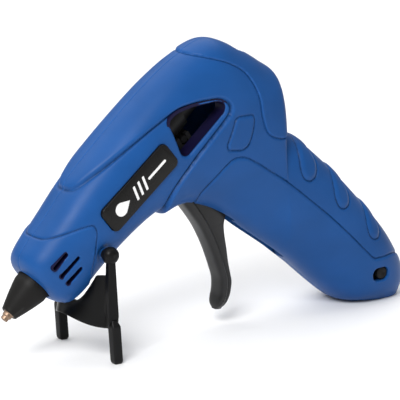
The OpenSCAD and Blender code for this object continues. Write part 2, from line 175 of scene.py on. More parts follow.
def resample(step):
    """Stations as a dense smooth table with about equal steps along the path."""
    fine = catmull(STATIONS, 24)
    for _ in range(SMOOTHING_PASSES):
        fine[1:-1] = 0.5 * fine[1:-1] + 0.25 * (fine[:-2] + fine[2:])
    move = np.linalg.norm(np.diff(fine, axis=0), axis=1) * PATH_SHARE
    along = np.concatenate([[0], np.cumsum(move)])
    n = max(int(along[-1] / step), 8)
    t = np.linspace(0, along[-1], n)
    return np.stack([np.interp(t, along, fine[:, k]) for k in range(5)], 1)


class Form:
    """The smooth housing form. A point has parameters (i, j): i along a dense table of
    stations, j from 0 at the outer line to 1 at the inner line, round the +Y side."""

    def __init__(self, step, inset=0.0):
        self.table = resample(step)
        self.n = len(self.table)
        # equal arc steps round a typical cross-section
        a = np.linspace(0, math.pi, 721)
        x = np.cos(a)
        sx = np.sign(x) * np.abs(x) ** (2 / SQUARENESS) * TYPICAL_HALF_HEIGHT
        sy = np.sin(a) ** (2 / SQUARENESS) * TYPICAL_HALF_WIDTH
        arc = np.concatenate([[0], np.cumsum(np.hypot(np.diff(sx), np.diff(sy)))])
        self.angle_at = (arc / arc[-1], a)
        self.girth = arc[-1]
        self.inset = inset

    def point(self, ij):
        """Points of the form at the parameters, in the gun frame."""
        i = np.clip(ij[:, 0], 0, self.n - 1)
        k = np.minimum(i.astype(int), self.n - 2)
        f = (i - k)[:, None]
        s = self.table[k] * (1 - f) + self.table[k + 1] * f
        o, q = s[:, 0:2], s[:, 2:4]
        centre, half = (o + q) / 2, (o - q) / 2
        size = np.linalg.norm(half, axis=1)
        half = half * ((size - self.inset) / size)[:, None]
        a = np.interp(ij[:, 1], *self.angle_at)
        c, sn = np.cos(a), np.clip(np.sin(a), 0, 1)
        c = np.sign(c) * np.abs(c) ** (2 / SQUARENESS)
        uw = centre + half * c[:, None]
        y = (s[:, 4] - self.inset) * sn ** (2 / SQUARENESS)
        return np.stack([uw[:, 0], y, uw[:, 1]], 1)

    def normal(self, ij):
        """Outward directions at the parameters, level in the plane y = 0."""
        i, j = ij.T
        di, dj = NORMAL_SPAN, NORMAL_SPAN / self.girth
        i_low, i_high = np.clip(i - di, 0, self.n - 1), np.clip(i + di, 0, self.n - 1)
        j_low, j_high = np.clip(j - dj, 0, 1), np.clip(j + dj, 0, 1)
        a = self.point(np.stack([i_high, j], 1)) - self.point(np.stack([i_low, j], 1))
        b = self.point(np.stack([i, j_high], 1)) - self.point(np.stack([i, j_low], 1))
        n = np.cross(a, b)
        n /= np.linalg.norm(n, axis=1)[:, None] + TINY
        n[on_seam(ij), 1] = 0
        n /= np.linalg.norm(n, axis=1)[:, None] + TINY
        return n


def on_seam(ij):
    """True for parameters on the outer or the inner line, where the halves meet."""
    return (ij[:, 1] < 1e-6) | (ij[:, 1] > 1 - 1e-6)


def grid(rows, cols):
    """Parameters and triangles of a regular grid."""
    i, j = np.meshgrid(np.arange(rows), np.arange(cols), indexing="ij")
    ij = np.stack([i.ravel().astype(float), j.ravel() / (cols - 1)], 1)
    a = (i[:-1, :-1] * cols + j[:-1, :-1]).ravel()
    b, c, d = a + cols, a + cols + 1, a + 1
    flip = ((i[:-1, :-1] + j[:-1, :-1]) % 2 == 0).ravel()
    t1 = np.where(flip[:, None], np.stack([a, b, c], 1), np.stack([a, b, d], 1))
    t2 = np.where(flip[:, None], np.stack([a, c, d], 1), np.stack([b, c, d], 1))
    return ij, np.vstack([t1, t2])


def split(ij, tris, wanted):
    """Splits the edges that wanted(edges) picks half way, and the triangles with them."""
    e = np.sort(np.vstack([tris[:, [0, 1]], tris[:, [1, 2]], tris[:, [2, 0]]]), 1)
    edges, back = np.unique(e, axis=0, return_inverse=True)
    back = back.reshape(3, -1).T
    pick = wanted(edges)
    new = np.full(len(edges), -1)
    new[pick] = len(ij) + np.arange(pick.sum())
    a, b = ij[edges[pick, 0]], ij[edges[pick, 1]]
    ij = np.vstack([ij, a + (b - a) * 0.5])
    m = new[back]
    out = []
    count = (m >= 0).sum(1)
    out.append(tris[count == 0])
    for turn in range(3):
        r = [(turn + k) % 3 for k in range(3)]
        t, q = tris[:, r], m[:, r]
        one = (count == 1) & (q[:, 0] >= 0)
        out += [np.stack([t[one, 0], q[one, 0], t[one, 2]], 1),
                np.stack([q[one, 0], t[one, 1], t[one, 2]], 1)]
        two = (count == 2) & (q[:, 0] < 0)
        out += [np.stack([t[two, 0], t[two, 1], q[two, 1]], 1),
                np.stack([t[two, 0], q[two, 1], q[two, 2]], 1),
                np.stack([q[two, 2], q[two, 1], t[two, 2]], 1)]
    three = count == 3
    t, q = tris[three], m[three]
    out += [np.stack([t[:, 0], q[:, 0], q[:, 2]], 1), np.stack([q[:, 0], t[:, 1], q[:, 1]], 1),
            np.stack([q[:, 2], q[:, 1], t[:, 2]], 1), q]
    return ij, np.vstack(out)


# ---------------------------------------------------------------- outlines in (u, w)

HOOD = catmull([(56.6, 34), (56.6, 27), (56.9, 22.5), (58.2, 20.9), (62, 20.3), (66.7, 19.9),
                (71.2, 19.3), (83.8, 17.4), (101.8, 14.4), (115, 11.4), (122, 7.9), (128, 3.6),
                (133.4, -1.5), (135.3, -6.6), (133.9, -10.1), (129, -11.2), (118.5, -11.4),
                (107.4, -12), (95.2, -13.9), (88, -16.2), (83.5, -20), (81, -25),
                (79.5, -32)], 8)
TUBE = np.vstack([HOOD, [(79, -45), (0, -45), (0, 45), (56.6, 45)]])
NOSE_LINE = catmull([(32, 30), (32.2, 24), (33, 18.6), (34, 16.6), (36, 15.5), (41.6, 12.9),
                     (47.5, 10), (51.2, 7.7), (52.5, 6.5), (52.6, 5), (51.7, 2.8), (48.6, -0.2),
                     (44, -4.7), (40.6, -7.7), (38, -11.5), (36.2, -16), (35.4, -24)], 8)
NOSE = np.vstack([NOSE_LINE, [(35, -40), (-10, -40), (-10, 40), (31, 40)]])
GRIP_LINE = np.vstack([
    catmull([(96, -36), (98.7, -28.8), (102, -26.9), (107, -26.4), (114.3, -26.3), (119.8, -27.1),
             (123.7, -30.1), (126.4, -35.2), (130.1, -47.7), (133.4, -60.7), (135.9, -74.9),
             (138.1, -89.6), (139.7, -105.2), (140.7, -120.6)], 6),
    catmull([(141.2, -122.6), (144.7, -125.8), (151.2, -132), (156.5, -143), (159, -150)], 6)])
GRIP = np.vstack([GRIP_LINE, [(170, -175), (90, -175), (80, -60)]])
CAP_LINE = catmull([(131, 30), (134.5, 23.5), (142, 14), (148, 4), (150.8, -6), (148.5, -17),
                    (143, -25.5), (140.3, -33), (143, -40), (148, -43.8), (156, -46.5)], 8)
CAP = np.vstack([CAP_LINE, [(190, -46.5), (190, 40), (131, 40)]])
WINDOW = rounded([(108.6, 10.6), (103.2, -5.4), (105, -8.4), (131.4, -8.4), (134, -5.6),
                  (131.6, -1.6), (121, 6.5), (114, 10.2)], 2.4)
TRAPEZOID = rounded([(134, -14.6), (140.2, -20.4), (139.2, -22.8), (133.6, -26.8),
                     (129.2, -28.6), (125.6, -27.7), (120.5, -21.8), (121.4, -19.6),
                     (128, -16.7), (132, -14.4)], 1.6)
PADS = [
    rounded([(158, -46), (150, -52), (146, -56), (141.4, -60.9), (139.9, -65), (141, -68.3),
             (144, -69.8), (148, -68.8), (151.3, -65.8), (153, -61), (158, -56)], 3),
    rounded([(164, -69), (153.4, -76.6), (149, -80.8), (145, -85.8), (144, -90), (145.4, -93),
             (148.7, -94), (152, -92), (154.6, -88.6), (157, -83), (164, -78)], 3),
    rounded([(164, -96), (153.4, -104.2), (149.5, -108), (146.6, -112.4), (146.6, -116),
             (149, -118.4), (152.8, -117.6), (155.2, -114.8), (157.5, -110), (164, -104)], 3)]
BADGE_AT, BADGE_TURN = (79.3, 1.3), -2
BADGE = rect(42.6, 13, 2.8, BADGE_AT, BADGE_TURN)
VENTS = [rect(9.4, 2.0, 0.98, (31.9, 7)), rect(12.2, 2.0, 0.98, (33.3, 1.6)),
         rect(9.8, 2.0, 0.98, (32.3, -3))]
# the stand's pivot, with a round seat about it in the housing
EYE_AT = np.array((49.0, -8.0))
EYE_SEAT_R, EYE_HOLE_R = 3.9, 2.1
NOSE_HOLE = 8.2
# the slider's slot lies level when the gun stands
SLOT_AT, SLOT_TURN = np.array((138.7, -131.0)), -41
SLOT = rect(9.4, 6.4, 3.1, SLOT_AT, SLOT_TURN)


def rise(d, height, r):
    """A rounded lip: 0 below d = 0, then up to height over a quarter circle of width r."""
    t = np.clip(d / r, 0, 1)
    return height * np.sqrt(np.clip(1 - (1 - t) ** 2, 0, 1))


def dent(d, depth, width):
    """A smooth groove along d = 0."""
    return -depth * np.exp(-(d / width) ** 2 * 2)


# heights of the steps where hood, nose and cap stand out from the form round them
HOOD_STEP, NOSE_STEP, CAP_STEP = 1.3, 0.55, 0.8
FAR = 99.0


def distances(p):
    """Distance of each point from every line of the relief, negative inside an outline."""
    uw = p[:, [0, 2]]
    far = np.full(len(p), FAR)

    def near(outline, pad=6.0):
        lo, hi = outline.min(0) - pad, outline.max(0) + pad
        use = ((uw > lo) & (uw < hi)).all(1)
        d = far.copy()
        if use.any():
            d[use] = signed(uw[use], outline)
        return d

    return {
        "tube": signed(uw, TUBE), "nose": near(NOSE, 12), "grip": near(GRIP, 12),
        "cap": near(CAP), "window": near(WINDOW), "trap": near(TRAPEZOID),
        "pads": np.minimum.reduce([near(o) for o in PADS]), "badge": near(BADGE),
        "vents": np.minimum.reduce([near(o) for o in VENTS]), "slot": near(SLOT),
        "seam": np.abs(p[:, 1]),
        "nose_hole": np.where(p[:, 0] < 30, np.hypot(p[:, 1], p[:, 2]) - NOSE_HOLE, FAR),
        "eye": np.hypot(p[:, 0] - EYE_AT[0], p[:, 2] - EYE_AT[1]) - EYE_SEAT_R,
    }


def common_relief(p, d):
    """Height over the smooth form that both halves and the cap share."""
    h = rise(d["tube"], HOOD_STEP, 1.3) - 0.5 * HOOD_STEP
    h += dent(d["tube"] + 0.4, 0.55, 0.65)
    # skirt: the hood stands further out under the belly, ahead of the trigger
    under = np.clip((-p[:, 2] - 13) / 9, 0, 1) * np.clip((95 - p[:, 0]) / 12, 0, 1)
    h += 1.5 * under * rise(d["tube"], 1, 1.6) * (p[:, 0] < 104)
    h += dent(d["seam"], 0.22, 0.35)
    return h


def lip(d, depth, width):
    """A rounded edge that falls away towards d = 0 from width outside it."""
    t = 1 - np.clip(d, 0, width) / width
    return -depth * (1 - np.sqrt(1 - t ** 2)) * (d < width)


def plateau(d, height, slope):
    """A raised patch inside an outline, with a sloping border."""
    t = np.clip(-d / slope, 0, 1)
    return height * t * t * (3 - 2 * t)


def shell_relief(p, d, side):
    """Height of a housing half over the smooth form. Badge and slot are on the left only."""
    h = common_relief(p, d)
    h += rise(-d["nose"], NOSE_STEP, 0.9) + dent(d["nose"] - 0.35, 0.35, 0.5)
    h += dent(d["grip"], 0.55, 0.5) + plateau(d["grip"], 0.3, 1.6)
    h += dent(d["trap"], 0.5, 0.45) + plateau(d["trap"], 0.5, 1.2)
    h += dent(d["pads"], 0.6, 0.5) + plateau(d["pads"], 0.7, 2.4)
    h += dent(d["cap"] - 0.2, 0.5, 0.5)
    h += lip(d["window"], 1.1, 1.5) + lip(d["vents"], 0.35, 0.5) + lip(d["nose_hole"], 0.7, 1.0)
    h += dent(d["eye"] + 1.2, 0.9, 1.8)
    if side < 0:
        h += lip(d["badge"], 0.35, 0.5) + lip(d["slot"], 0.5, 0.7)
    return h


def cap_relief(p, d, side):
    """Height of the rear cap over the smooth form, the same on both sides."""
    return common_relief(p, d) + CAP_STEP * (rise(-d["cap"], 1.0, 0.8) - 0.35)


# edge lengths of the skin: everywhere at first, shortest close to a line, longest kept
BASE_STEP = 1.25
FINEST = 0.34
COARSEST = 9


def fine_at(p, relief_of, side):
    """Edge length wanted at each point: short close to a line or lip, longer elsewhere."""
    d = distances(p)
    names = ["tube", "nose", "grip", "cap", "window", "trap", "pads", "vents", "nose_hole", "eye"]
    names += ["badge", "slot"] if side < 0 else []
    if relief_of is cap_relief:
        names = ["tube", "cap"]
    near = np.minimum.reduce([np.abs(d[k]) for k in names])
    near = np.minimum(near, d["seam"] * 1.5)
    return np.clip(FINEST + (near - 1.2) * 0.5, FINEST, COARSEST)


def outer_half(relief_of, side):
    """Outer skin of one half as points (gun frame, +Y side) and triangles."""
    form = Form(BASE_STEP)
    ij, tris = grid(form.n, int(form.girth / BASE_STEP))
    for _ in range(2):
        p = form.point(ij)
        want = fine_at(p, relief_of, side)

        def long_ones(e, p=p, want=want):
            length = np.linalg.norm(p[e[:, 0]] - p[e[:, 1]], axis=1)
            return length > 1.5 * np.minimum(want[e[:, 0]], want[e[:, 1]])

        ij, tris = split(ij, tris, long_ones)
    p = form.point(ij)
    d = distances(p)
    p = p + form.normal(ij) * relief_of(p, d, side)[:, None]
    p[on_seam(ij), 1] = 0
    p[:, 2] = np.maximum(p[:, 2], ground(p[:, 0]))
    return p, tris, ij


# ---------------------------------------------------------------- solids


def make(name, points, faces):
    """An object from gun-frame points."""
    me = bpy.data.meshes.new(name)
    faces = faces if isinstance(faces, list) else faces.tolist()
    me.from_pydata(to_row(points).tolist(), [], faces)
    ob = bpy.data.objects.new(name, me)
    bpy.context.collection.objects.link(ob)
    return ob


# points closer than this are one, in metres: while building, and after the booleans
MERGE, MERGE_AFTER = 2e-6, 3e-6


def close_up(ob):
    """Fills the open ends of a mesh, joins doubles and turns the faces outward."""
    bm = bmesh.new()
    bm.from_mesh(ob.data)
    bmesh.ops.remove_doubles(bm, verts=bm.verts, dist=MERGE)
    edges = [e for e in bm.edges if e.is_boundary]
    bmesh.ops.holes_fill(bm, edges=edges, sides=0)
    bmesh.ops.triangulate(bm, faces=[f for f in bm.faces if len(f.verts) > 3])
    bmesh.ops.recalc_face_normals(bm, faces=bm.faces)
    bm.to_mesh(ob.data)
    bm.free()
    return ob


def boolean(ob, other, operation="DIFFERENCE", keep=False):
    """Cuts, adds or crosses two solids. The other one is removed unless it is kept."""
    m = ob.modifiers.new("cut", "BOOLEAN")
    m.operation, m.solver, m.object = operation, "MANIFOLD", other
    apply_all(ob)
    if not keep:
        bpy.data.objects.remove(other)
    return ob


def apply_all(ob):
    """Turns an object's modifiers into its mesh."""
    dg = bpy.context.evaluated_depsgraph_get()
    me = bpy.data.meshes.new_from_object(ob.evaluated_get(dg))
    old = ob.data
    ob.modifiers.clear()
    ob.data = me
    me.name = ob.name
    bpy.data.meshes.remove(old)


def between(low, high, name="cutter"):
    """A solid between two rings of gun-frame points."""
    n = len(low)
    ring = list(range(n))
    faces = [ring[::-1], [k + n for k in ring]]
    faces += [[k, (k + 1) % n, (k + 1) % n + n, k + n] for k in ring]
    return close_up(make(name, np.vstack([low, high]), faces))


def prism(outline, y0, y1, name="cutter"):
    """A solid over a closed (u, w) outline from y0 to y1."""
    return between(*(np.insert(outline, 1, y, axis=1) for y in (y0, y1)), name)


def rod(a, b, r, n=48, name="cutter"):
    """A cylinder between two gun-frame points."""
    a, b = np.asarray(a, float), np.asarray(b, float)
    d = (b - a) / np.linalg.norm(b - a)
    ref = np.array([0, 0, 1.0]) if abs(d[2]) < 0.9 else np.array([1.0, 0, 0])
    s = np.cross(d, ref)
    s /= np.linalg.norm(s)
    v = np.cross(d, s)
    t = circle(n)[:, None]
    ring = r * (np.cos(t) * s + np.sin(t) * v)
    return between(a + ring, b + ring, name)


def loft(rings, name="part"):
    """A closed solid through gun-frame rings of equal point count."""
    n, last = len(rings[0]), (len(rings) - 1) * len(rings[0])
    faces = [list(range(n))[::-1], [last + j for j in range(n)]]
    for k in range(0, last, n):
        faces += [[k + j, k + (j + 1) % n, k + n + (j + 1) % n, k + n + j] for j in range(n)]
    return close_up(make(name, np.vstack(rings), faces))


def revolve(profile, name, n=96):
    """A solid from a closed (radius, u) profile turned about the barrel axis."""
    r, u = profile.T
    rings = [np.stack([u, r * math.cos(t), r * math.sin(t)], 1) for t in circle(n)]
    m = len(profile)
    faces = []
    for k in range(n):
        p, q = k * m, (k + 1) % n * m
        faces += [[p + j, p + (j + 1) % m, q + (j + 1) % m, q + j] for j in range(m)]
    return close_up(make(name, np.vstack(rings), faces))


def finish_mesh(ob, angle=40.0):
    """Smooth shading, with edges sharper than the angle in degrees left sharp."""
    me = ob.data
    me.polygons.foreach_set("use_smooth", [True] * len(me.polygons))
    me.set_sharp_from_angle(angle=math.radians(angle))
    me.update()


def tidy_mesh(ob):
    """Clears the doubled points and needle faces that booleans leave."""
    bm = bmesh.new()
    bm.from_mesh(ob.data)
    bmesh.ops.remove_doubles(bm, verts=bm.verts, dist=MERGE_AFTER)
    bmesh.ops.dissolve_degenerate(bm, edges=bm.edges, dist=MERGE_AFTER)
    bm.to_mesh(ob.data)
    bm.free()


HOLLOW_STEP = 3.0
# each half stops this far from the middle plane
SEAM_GAP = 0.03


def inner_solid():
    """Hollow inside the housing, closed at the nose and at the foot."""
    form = Form(HOLLOW_STEP, WALL)
    ij, tris = grid(form.n, 28)
    first, last = 0.03 * form.n, 0.985 * form.n
    tris = tris[(ij[tris, 0].min(1) >= first) & (ij[tris, 0].max(1) <= last)]
    p = form.point(ij)
    both = np.vstack([p, p * (1, -1, 1)])
    all_tris = np.vstack([tris, tris[:, ::-1] + len(p)])
    return close_up(make("hollow", both, all_tris))


def half_solid(relief_of, side):
    """One half of the form with its relief, closed along the seam."""
    p, tris, ij = outer_half(relief_of, side)
    p = p * (1, side, 1)
    if side < 0:
        tris = tris[:, ::-1]
    p[on_seam(ij), 1] = side * SEAM_GAP
    return close_up(make("half", p, tris))


# ---------------------------------------------------------------- materials


def material(name, build):
    """A new node material. build gets a Kit and sets the shader's inputs."""
    m = bpy.data.materials.new(name)
    m.use_nodes = True
    nt = m.node_tree
    nt.nodes.clear()
    out = nt.nodes.new("ShaderNodeOutputMaterial")
    bsdf = nt.nodes.new("ShaderNodeBsdfPrincipled")
    nt.links.new(bsdf.outputs[0], out.inputs[0])
    build(Kit(nt, bsdf))
    return m


class Kit:
    """Short calls for building a node material in object coordinates."""

    def __init__(self, nt, bsdf):
        self.nt, self.bsdf = nt, bsdf
        self.coords = nt.nodes.new("ShaderNodeTexCoord").outputs["Object"]

    def node(self, kind, **values):
        """A node with inputs by name or by number (i0, i1, ...) and settings (set_...)."""
        n = self.nt.nodes.new(kind)
        for k, v in values.items():
            if k.startswith("set_"):
                setattr(n, k[4:], v)
            else:
                socket = n.inputs[int(k[1:])] if k[0] == "i" and k[1:].isdigit() else n.inputs[k]
                self.put(socket, v)
        return n

    def put(self, socket, v):
        """Links a socket to a socket, or sets a plain value."""
        if isinstance(v, bpy.types.NodeSocket):
            self.nt.links.new(v, socket)
        else:
            socket.default_value = v

    def noise(self, scale, detail=3.0, rough=0.55, stretch=None):
        co = self.coords
        if stretch:
            co = self.node("ShaderNodeMapping", Vector=co, Scale=stretch).outputs[0]
        return self.node("ShaderNodeTexNoise", Vector=co, Scale=scale, Detail=detail,
                         Roughness=rough).outputs["Fac"]

    def ramp(self, fac, stops):
        n = self.node("ShaderNodeValToRGB", Fac=fac)
        e = n.color_ramp.elements
        while len(e) < len(stops):
            e.new(0.5)
        for el, (pos, col) in zip(e, stops):
            el.position = pos
            el.color = col if len(col) == 4 else (*col, 1)
        return n.outputs[0]

    def range(self, value, a, b, c, d):
        return self.node("ShaderNodeMapRange", Value=value, i1=a, i2=b, i3=c, i4=d).outputs[0]

    def mix(self, fac, a, b):
        n = self.node("ShaderNodeMix", set_data_type="RGBA")
        for socket, v in ((n.inputs[0], fac), (n.inputs[6], a), (n.inputs[7], b)):
            plain = isinstance(v, (float, int, bpy.types.NodeSocket))
            self.put(socket, v if plain else (*v[:3], 1))
        return n.outputs[2]

    def math(self, op, a, b=0.0):
        return self.node("ShaderNodeMath", set_operation=op, i0=a, i1=b).outputs[0]

    def colour(self, value):
        self.put(self.bsdf.inputs["Base Color"], value)

    def roughness(self, value):
        self.put(self.bsdf.inputs["Roughness"], value)

    def speckle(self, scale, detail, a, b):
        """A colour that wanders between two colours."""
        self.colour(self.mix(self.noise(scale, detail, 0.6), a, b))

    def bump(self, height, strength, distance):
        n = self.node("ShaderNodeBump", Height=height, Strength=strength, Distance=distance)
        self.nt.links.new(n.outputs[0], self.bsdf.inputs["Normal"])

    def pointiness_band(self, low, high):
        """0 at the first pointiness and 1 at the second: 0.5 is flat, more is a sharp
        outer edge, less is a groove."""
        g = self.node("ShaderNodeNewGeometry").outputs["Pointiness"]
        return self.range(g, low, high, 0.0, 1.0)


def plastic(name, colour, roughness, grain, spread=0.22, specular=0.4, wear_and_highlight_amount=0.3):
    """Moulded plastic: fine spark texture, faint flow marks, grooves darkened as painted shade,
    and edges painted lighter, partly as rubbed wear and partly as a painted highlight, slightly
    polished."""
    dark, mid, light = ([c * k for c in colour] for k in (1 - spread, 1.0, 1 + spread))

    def build(k):
        flow = k.noise(28, 3, 0.5, (1, 1, 1.6))
        tone = k.ramp(flow, [(0.3, dark), (0.55, mid), (0.8, light)])
        # edges are painted lighter: partly rubbed wear, partly a painted highlight where edges
        # catch the light
        wear_and_highlight = k.math("MULTIPLY", k.pointiness_band(0.515, 0.58), wear_and_highlight_amount)
        tone = k.mix(wear_and_highlight, tone, [min(c * 1.7 + 0.01, 1) for c in colour])
        # painted shade: grooves and creases are darkened to 0.3 of the colour
        hollow = k.math("MULTIPLY", k.pointiness_band(0.495, 0.44), 0.85)
        tone = k.mix(hollow, tone, [c * 0.3 for c in colour])
        k.colour(tone)
        smear = k.range(k.noise(60, 4, 0.6), 0.35, 0.7, roughness - 0.05, roughness + 0.06)
        k.roughness(k.math("SUBTRACT", smear, k.math("MULTIPLY", wear_and_highlight, 0.15)))
        k.bsdf.inputs["Specular IOR Level"].default_value = specular
        spark = k.noise(2600, 2, 0.6)
        fine = k.math("MULTIPLY", k.noise(420, 2, 0.6), 0.6)
        k.bump(k.math("ADD", spark, fine), grain, 0.00006)

    return material(name, build)


def metal(name, base, tint, roughness):
    """Bare metal: two cloudy tones and a fine uneven grain."""

    def build(k):
        k.speckle(90, 4, base, tint)
        k.bsdf.inputs["Metallic"].default_value = 1.0
        grain = k.noise(900, 3, 0.6)
        k.roughness(k.range(grain, 0.3, 0.7, roughness - 0.07, roughness + 0.1))
        k.bump(grain, 0.25, 0.00003)

    return material(name, build)


blue = plastic("housing_blue", (0.008, 0.066, 0.236), 0.42, 0.2, spread=0.14, specular=0.16)
# the housing's blue plastic painted near black: painted shade for the walls deep inside the
# window and vents
liner_blue_painted_shade = plastic("liner_blue_painted_shade", (0.003, 0.002, 0.022), 0.5, 0.2, spread=0.2, specular=0.12)
black = plastic("stand_black", (0.004, 0.004, 0.0042), 0.38, 0.3, spread=0.3, specular=0.12,
                wear_and_highlight_amount=0.8)
trigger_black = plastic("trigger_black", (0.008, 0.008, 0.0085), 0.38, 0.3, spread=0.3,
                        specular=0.28, wear_and_highlight_amount=0.8)
rubber = plastic("nozzle_rubber", (0.007, 0.0065, 0.0062), 0.52, 0.5, spread=0.3,
                 specular=0.16, wear_and_highlight_amount=0.5)
inner_plastic = plastic("inner_plastic", (0.006, 0.006, 0.0065), 0.45, 0.4, spread=0.3,
                        specular=0.3)
steel = metal("steel", (0.34, 0.34, 0.36), (0.46, 0.46, 0.47), 0.34)
brass = metal("brass", (0.2, 0.13, 0.09), (0.36, 0.26, 0.19), 0.42)
aluminium = metal("cast_aluminium", (0.5, 0.5, 0.52), (0.66, 0.66, 0.67), 0.45)
nickel = metal("nickel", (0.6, 0.57, 0.5), (0.68, 0.66, 0.6), 0.28)
ceramic = plastic("ceramic", (0.7, 0.68, 0.63), 0.6, 0.5, spread=0.1)
silicone = plastic("silicone", (0.36, 0.08, 0.04), 0.5, 0.3)
cell_wrap = plastic("cell_wrap", (0.03, 0.2, 0.12), 0.25, 0.1)
board_green = plastic("circuit_board", (0.01, 0.1, 0.04), 0.35, 0.2)
wire_red = plastic("wire_red", (0.36, 0.015, 0.015), 0.4, 0.2)
wire_black = plastic("wire_black", (0.014, 0.014, 0.014), 0.4, 0.2)


def badge_look(k):
    """Satin black plate with a faint sheen."""
    k.speckle(300, 4, (0.004, 0.004, 0.004), (0.009, 0.0085, 0.008))
    k.bsdf.inputs["Specular IOR Level"].default_value = 0.16
    k.roughness(k.range(k.noise(70, 3, 0.5), 0.3, 0.7, 0.22, 0.34))
    k.bump(k.noise(1500, 2, 0.5), 0.12, 0.00004)


def mark_look(k):
    """White print."""
    k.speckle(500, 3, (0.72, 0.72, 0.72), (0.86, 0.86, 0.86))
    k.roughness(k.range(k.noise(200, 3, 0.5), 0.3, 0.7, 0.35, 0.5))


badge_black = material("badge_black", badge_look)
mark_white = material("mark_white", mark_look)


def paint(ob, mat):
    ob.data.materials.clear()
    ob.data.materials.append(mat)


def place(ob, body, slot, *nodes):
    """Puts an object on its body and in place of its CAD nodes. The slot is not used."""
    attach(ob, body)
    if nodes:
        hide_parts(*nodes)
    return ob


# ---------------------------------------------------------------- camera

CAMERA_TURN, CAMERA_RISE, CAMERA_FAR = math.radians(-35), math.radians(15.3), 1.5
# focal length in pixels of a frame 400 pixels wide, and the width of the sensor in mm
FOCAL, FRAME, SENSOR = 3405, 400, 36
TARGET = Vector((-0.00363, 0, 0.0588))
back = Vector((math.sin(CAMERA_TURN) * math.cos(CAMERA_RISE),
               -math.cos(CAMERA_TURN) * math.cos(CAMERA_RISE), math.sin(CAMERA_RISE)))
cam = bpy.data.objects.new("camera", bpy.data.cameras.new("camera"))
bpy.context.collection.objects.link(cam)
cam.location = TARGET + back * CAMERA_FAR
cam.rotation_euler = back.to_track_quat("Z", "Y").to_euler()
cam.data.sensor_width = SENSOR
cam.data.lens = SENSOR * FOCAL / FRAME
cam.data.clip_end = 20
bpy.context.scene.camera = cam

# ---------------------------------------------------------------- housing

# y beyond the housing, and the depths at which cuts from the side end
OUTSIDE = 40
WINDOW_DEEP, VENT_DEEP, SLOT_DEEP, BADGE_DEEP = 7, 8.2, 10, 15.9
MOUTH_HALF, WEB_SLOT_HALF = 5.9, 4.1
INLET_R = 5.6
USB_AT, USB_LOW, USB_HIGH = 138, -165, -139

hollow = inner_solid()


def span(side, deep, out=OUTSIDE):
    """y from one depth to another on one side, the smaller first."""
    return sorted((side * deep, side * out))


def trigger_cutters():
    """Mouth for the trigger under the barrel and the slot for its web."""
    mouth = rounded([(88.5, -19), (106, -19), (108, -59), (90, -42.5)], 2)
    web = rounded([(101, -46), (109.5, -46), (114.8, -91), (109.5, -93.5), (103, -88)], 2)
    return [prism(mouth, -MOUTH_HALF, MOUTH_HALF), prism(web, -WEB_SLOT_HALF, WEB_SLOT_HALF)]


def cut_all(ob, cutters):
    for c in cutters:
        boolean(ob, c)


def crosswise(at, y0, y1, r, n=48):
    """A cylinder across the gun, at (u, w)."""
    return rod((at[0], y0, at[1]), (at[0], y1, at[1]), r, n)


def shell(side, name):
    """A housing half, hollow, with its windows, vents and holes."""
    ob = half_solid(shell_relief, side)
    ob.name = name
    boolean(ob, hollow, keep=True)
    boolean(ob, prism(CAP, -OUTSIDE, OUTSIDE))
    cut_all(ob, trigger_cutters())
    boolean(ob, prism(WINDOW, *span(side, WINDOW_DEEP)))
    cut_all(ob, [prism(v, *span(side, VENT_DEEP)) for v in VENTS])
    boolean(ob, rod((10, 0, 0), (26, 0, 0), NOSE_HOLE, 96))
    boolean(ob, crosswise(EYE_AT, side * 10, side * OUTSIDE, EYE_HOLE_R))
    boolean(ob, usb_cutter())
    return ob


def grown(outline, by):
    """An outline moved outward, or inward by a negative distance."""
    p = np.asarray(outline)
    t = np.roll(p, -1, 0) - np.roll(p, 1, 0)
    t /= np.linalg.norm(t, axis=1)[:, None] + TINY
    n = np.stack([t[:, 1], -t[:, 0]], 1)
    area = 0.5 * np.sum(p[:, 0] * np.roll(p[:, 1], -1) - p[:, 1] * np.roll(p[:, 0], -1))
    return p + n * by * (1 if area > 0 else -1)


def usb_cutter():
    """The port's recess in the end of the handle."""
    out = rect(11.4, 6.4, 1.4, (USB_AT, 0))
    return between(*(np.insert(out, 2, w, axis=1) for w in (USB_LOW, USB_HIGH)))


def window_liner(side, name):
    """Walls that line the window and the vents, behind the skin; their blue is painted near black
    as shade.
    """
    ob = prism(grown(WINDOW, 1.4), *span(side, 8.2, 15.5), name)
    for v in VENTS:
        boolean(ob, prism(grown(v, 0.5), *span(side, 10.6, 15.3)), "UNION")
    for hole in [WINDOW] + VENTS:
        boolean(ob, prism(grown(hole, -0.06), *span(side, WINDOW_DEEP)))
    return ob


# places of the screws, as (u, w)
BOSSES = [(40, -12), (66, 16), (98, 17.5), (126, 14), (83.5, -16.5), (132, -38), (119.7, -104.5),
          (151, -128.5)]
BOSS_R, BOSS_TOP = 4.2, 8.2
RECESS_R, SHAFT_HOLE_R = 3.0, 1.6
HEAD_SEAT = 6.2
# a screw from its end to the top of its domed head, as (radius, height over the seat)
SHAFT_R, SHAFT_END = 1.4, -9.0
HEAD = [(SHAFT_R, 0), (2.6, 0), (2.6, 0.6), (2.2, 1.1), (1.4, 1.4), (0.4, 1.5)]
# arms of the cross slot in the head, long by wide
CROSS_LONG, CROSS_WIDE = 3.0, 0.55


def screw_at(u, w):
    """A screw with a domed head and a cross slot."""
    turn = circle(32)
    profile = [(SHAFT_R, SHAFT_END)] + [(r, HEAD_SEAT + h) for r, h in HEAD]
    ob = loft([np.stack([u + r * np.cos(turn), np.full(32, y), w + r * np.sin(turn)], 1)
               for r, y in profile], "housing_screw_set")
    for size in ((CROSS_LONG, CROSS_WIDE), (CROSS_WIDE, CROSS_LONG)):
        boolean(ob, prism(rect(*size, 0.15, (u, w), 30), HEAD_SEAT + 0.7, HEAD_SEAT + 3))
    return ob


